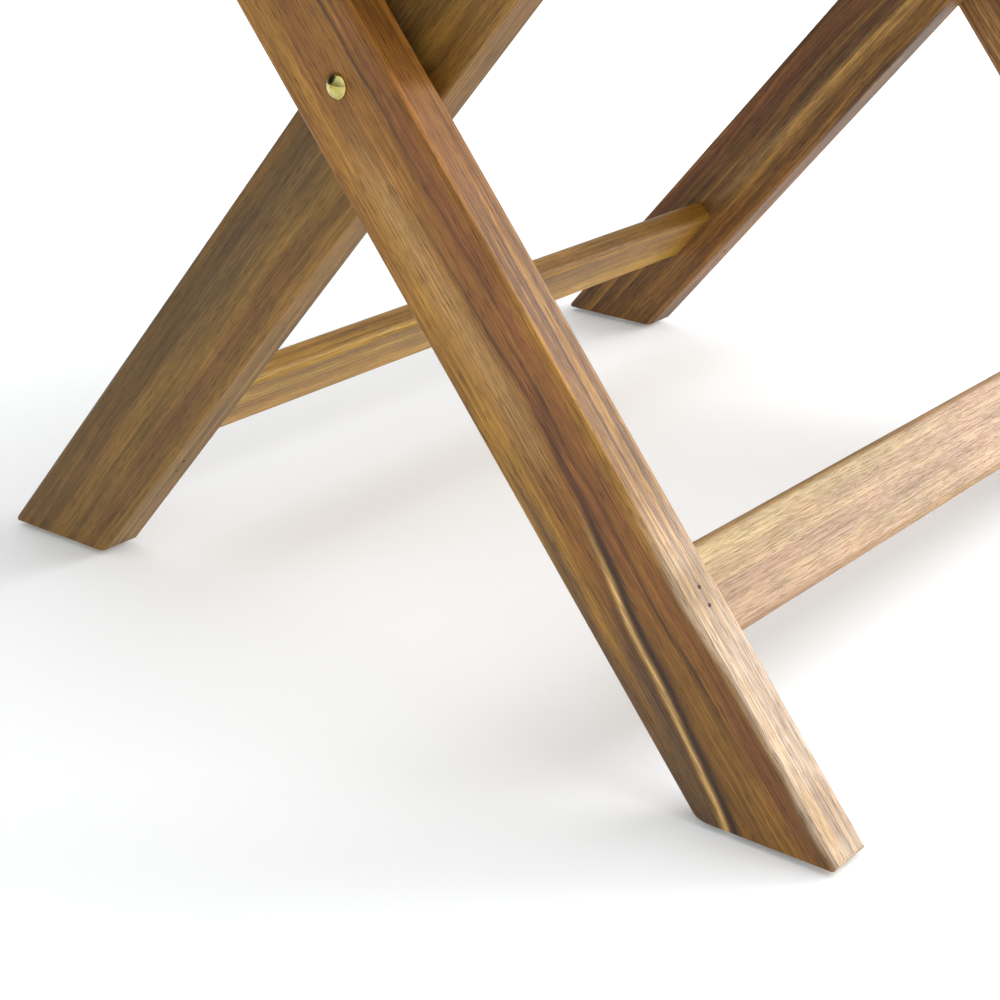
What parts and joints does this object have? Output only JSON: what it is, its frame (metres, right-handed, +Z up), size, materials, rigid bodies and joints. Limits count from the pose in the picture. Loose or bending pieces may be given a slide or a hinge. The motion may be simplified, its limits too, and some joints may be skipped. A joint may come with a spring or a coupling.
{
  "type": "folding picnic table",
  "caption": "Slatted wooden picnic table on two crossed leg frames that spread on pivot bolts, with the top hinged on one frame and hooked over the other's bar.",
  "frame": {"origin": "on the floor under the centre of the table top", "axes": "+X along the table, +Y across it towards the hooks, +Z up"},
  "size_m": [1.2, 0.7, 0.74],
  "materials": {
    "outer_leg_wood": "oiled, satin",
    "inner_leg_wood": "oiled, satin",
    "stretcher_wood": "oiled, satin",
    "bar_wood": "oiled, satin",
    "top_wood": "oiled, satin",
    "batten_wood": "oiled, satin",
    "dowel_wood": "oiled, satin",
    "yellow_zinc": "polished, yellow",
    "screw_steel": "zinc plated",
    "brad": "dark, matt",
    "glide": "clear, moulded",
    "spacer": "black nylon"
  },
  "bodies": {
    "inner_frame": {"inner_leg_left": "inner_leg_wood", "inner_leg_right": "inner_leg_wood", "back_stretcher": "stretcher_wood", "inner_top_bar": "bar_wood", "inner_brads": "brad", "inner_foot_glides": "glide", "inner_glide_nails": "screw_steel", "pivot_bolt_left": "yellow_zinc", "pivot_bolt_right": "yellow_zinc", "pivot_spacers": "spacer", "pivot_washers": "yellow_zinc", "pivot_cap_nuts": "yellow_zinc"},
    "outer_frame": {"outer_leg_left": "outer_leg_wood", "outer_leg_right": "outer_leg_wood", "front_stretcher": "stretcher_wood", "outer_top_bar": "bar_wood", "outer_brads": "brad", "outer_foot_glides": "glide", "outer_glide_nails": "screw_steel"},
    "table_top": {"rim_board_front": "top_wood", "rim_board_back": "top_wood", "rim_board_left": "top_wood", "rim_board_right": "top_wood", "rim_dowels": "dowel_wood", "slat_1": "top_wood", "slat_2": "top_wood", "slat_3": "top_wood", "slat_4": "top_wood", "slat_5": "top_wood", "slat_6": "top_wood", "batten_left": "batten_wood", "batten_right": "batten_wood", "end_batten_left": "batten_wood", "end_batten_right": "batten_wood", "centre_batten": "batten_wood", "batten_screws": "screw_steel", "cross_batten_screws": "screw_steel", "hook_screws": "screw_steel"},
    "hook_left": {"hook_left": "yellow_zinc"},
    "hook_right": {"hook_right": "yellow_zinc"}
  },
  "joints": [
    {"name": "leg_fold", "type": "hinge", "parent": "inner_frame", "child": "outer_frame", "pos_m": [0, 0, 0.365], "axis": [-1, 0, 0], "range_deg": [0, 92]},
    {"name": "top_fold", "type": "hinge", "parent": "inner_frame", "child": "table_top", "pos_m": [0, -0.25637, 0.676], "axis": [-1, 0, 0], "range_deg": [0, 46]},
    {"name": "hook_left_lift", "type": "hinge", "parent": "table_top", "child": "hook_left", "pos_m": [-0.275, 0.19437, 0.68], "axis": [1, 0, 0], "range_deg": [0, 14]},
    {"name": "hook_right_lift", "type": "hinge", "parent": "table_top", "child": "hook_right", "pos_m": [0.275, 0.19437, 0.68], "axis": [1, 0, 0], "range_deg": [0, 14]}
  ],
  "couplings": [
    {"joint": "top_fold", "follows": "leg_fold", "ratio": 0.5}
  ]
}
